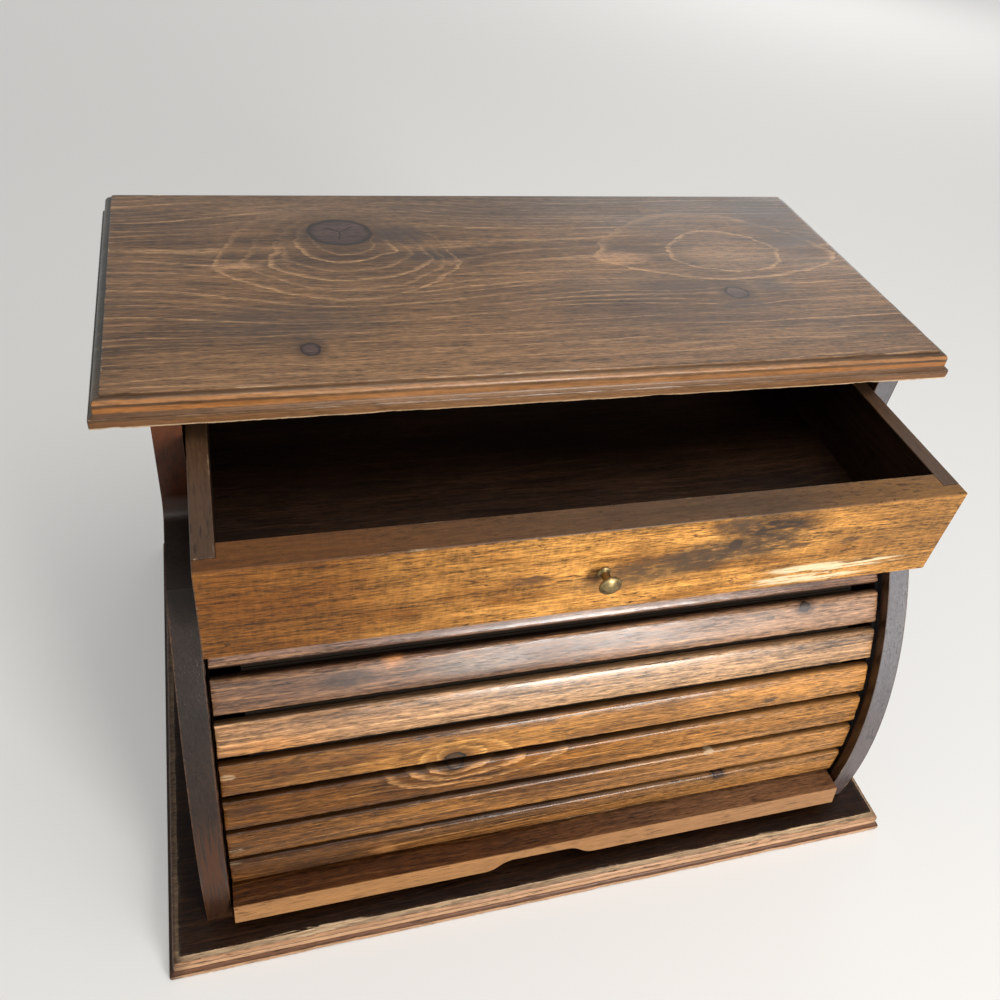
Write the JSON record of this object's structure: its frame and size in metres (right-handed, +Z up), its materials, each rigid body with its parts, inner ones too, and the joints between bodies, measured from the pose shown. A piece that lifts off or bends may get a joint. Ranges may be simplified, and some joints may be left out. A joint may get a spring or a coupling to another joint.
{
  "type": "bread box with drawer",
  "caption": "Countertop bread box with a drawer under its moulded top and, below, a compartment closed by a tambour of slats that rolls up and back.",
  "frame": {"origin": "centre of the base board's underside", "axes": "+X to the right along the front, -Y out of the front, +Z up"},
  "size_m": [0.61, 0.446, 0.387],
  "materials": {
    "top_wood": "stained pine, worn satin",
    "base_wood": "stained pine, worn edges",
    "side_wood": "dark stained pine, satin",
    "back_wood": "stained thin panel",
    "drawer_front_wood": "golden stained pine",
    "drawer_wood": "dark stained pine",
    "slat_wood": "stained pine, satin",
    "rail_wood": "reddish stained pine, satin",
    "dowel_wood": "bare beech",
    "canvas": "plain woven canvas",
    "brass": "aged, satin",
    "steel": "dull zinc"
  },
  "bodies": {
    "case": {"top_board": "top_wood", "base_board": "base_wood", "side_left": "side_wood", "side_right": "side_wood", "back_panel": "back_wood", "drawer_shelf": "side_wood", "base_screws": "steel", "top_dowels": "dowel_wood", "back_nails": "steel"},
    "drawer": {"drawer_front": "drawer_front_wood", "drawer_side_left": "drawer_wood", "drawer_side_right": "drawer_wood", "drawer_back": "drawer_wood", "drawer_bottom": "drawer_wood", "drawer_nails": "steel", "knob": "brass", "knob_screw": "steel"},
    "tambour_lead": {"lead_slat": "slat_wood", "canvas_lead": "canvas"},
    "tambour_1": {"slat_1": "slat_wood", "canvas_1": "canvas"},
    "tambour_2": {"slat_2": "slat_wood", "canvas_2": "canvas"},
    "tambour_3": {"slat_3": "slat_wood", "canvas_3": "canvas"},
    "tambour_4": {"slat_4": "slat_wood", "canvas_4": "canvas"},
    "tambour_5": {"slat_5": "slat_wood", "canvas_5": "canvas"},
    "tambour_6": {"slat_6": "slat_wood", "canvas_6": "canvas"},
    "tambour_7": {"slat_7": "slat_wood", "canvas_7": "canvas"},
    "tambour_8": {"slat_8": "slat_wood", "canvas_8": "canvas"},
    "tambour_rail": {"pull_rail": "rail_wood", "canvas_rail": "canvas"}
  },
  "joints": [
    {"name": "drawer_slide", "type": "slide", "parent": "case", "child": "drawer", "axis": [0, -1, 0], "range_m": [-0.12, 0.05]},
    {"name": "tambour_slide", "type": "slide", "parent": "case", "child": "tambour_lead", "axis": [0, 1, 0], "range_m": [0, 0.1956]},
    {"name": "slat_1_fold", "type": "hinge", "parent": "tambour_lead", "child": "tambour_1", "pos_m": [0, -0.07626, 0.2549], "axis": [1, 0, 0], "range_deg": [-7.82, 0]},
    {"name": "slat_2_fold", "type": "hinge", "parent": "tambour_1", "child": "tambour_2", "pos_m": [0, -0.10719, 0.25076], "axis": [1, 0, 0], "range_deg": [-39.41, 0]},
    {"name": "slat_3_fold", "type": "hinge", "parent": "tambour_2", "child": "tambour_3", "pos_m": [0, -0.12853, 0.22801], "axis": [1, 0, 0], "range_deg": [-14.53, 0]},
    {"name": "slat_4_fold", "type": "hinge", "parent": "tambour_3", "child": "tambour_4", "pos_m": [0, -0.14358, 0.20068], "axis": [1, 0, 0], "range_deg": [-5.61, 0]},
    {"name": "slat_5_fold", "type": "hinge", "parent": "tambour_4", "child": "tambour_5", "pos_m": [0, -0.15599, 0.17205], "axis": [1, 0, 0], "range_deg": [-5.61, 0]},
    {"name": "slat_6_fold", "type": "hinge", "parent": "tambour_5", "child": "tambour_6", "pos_m": [0, -0.16565, 0.14238], "axis": [1, 0, 0], "range_deg": [-5.61, 0]},
    {"name": "slat_7_fold", "type": "hinge", "parent": "tambour_6", "child": "tambour_7", "pos_m": [0, -0.17246, 0.11194], "axis": [1, 0, 0], "range_deg": [-3.48, 0]},
    {"name": "slat_8_fold", "type": "hinge", "parent": "tambour_7", "child": "tambour_8", "pos_m": [0, -0.17638, 0.08099], "axis": [1, 0, 0], "range_deg": [0, 29.33]},
    {"name": "rail_fold", "type": "hinge", "parent": "tambour_8", "child": "tambour_rail", "pos_m": [0, -0.17736, 0.0498], "axis": [1, 0, 0], "range_deg": [0, 17.83]}
  ],
  "couplings": [
    {"joint": "slat_1_fold", "follows": "tambour_slide", "rad_per_m": -0.67976},
    {"joint": "slat_2_fold", "follows": "tambour_slide", "rad_per_m": -3.4986},
    {"joint": "slat_3_fold", "follows": "tambour_slide", "rad_per_m": -1.2788},
    {"joint": "slat_4_fold", "follows": "tambour_slide", "rad_per_m": -0.48252},
    {"joint": "slat_5_fold", "follows": "tambour_slide", "rad_per_m": -0.48252},
    {"joint": "slat_6_fold", "follows": "tambour_slide", "rad_per_m": -0.48252},
    {"joint": "slat_7_fold", "follows": "tambour_slide", "rad_per_m": -0.29294},
    {"joint": "slat_8_fold", "follows": "tambour_slide", "rad_per_m": 2.5996},
    {"joint": "rail_fold", "follows": "tambour_slide", "rad_per_m": 1.5731}
  ]
}
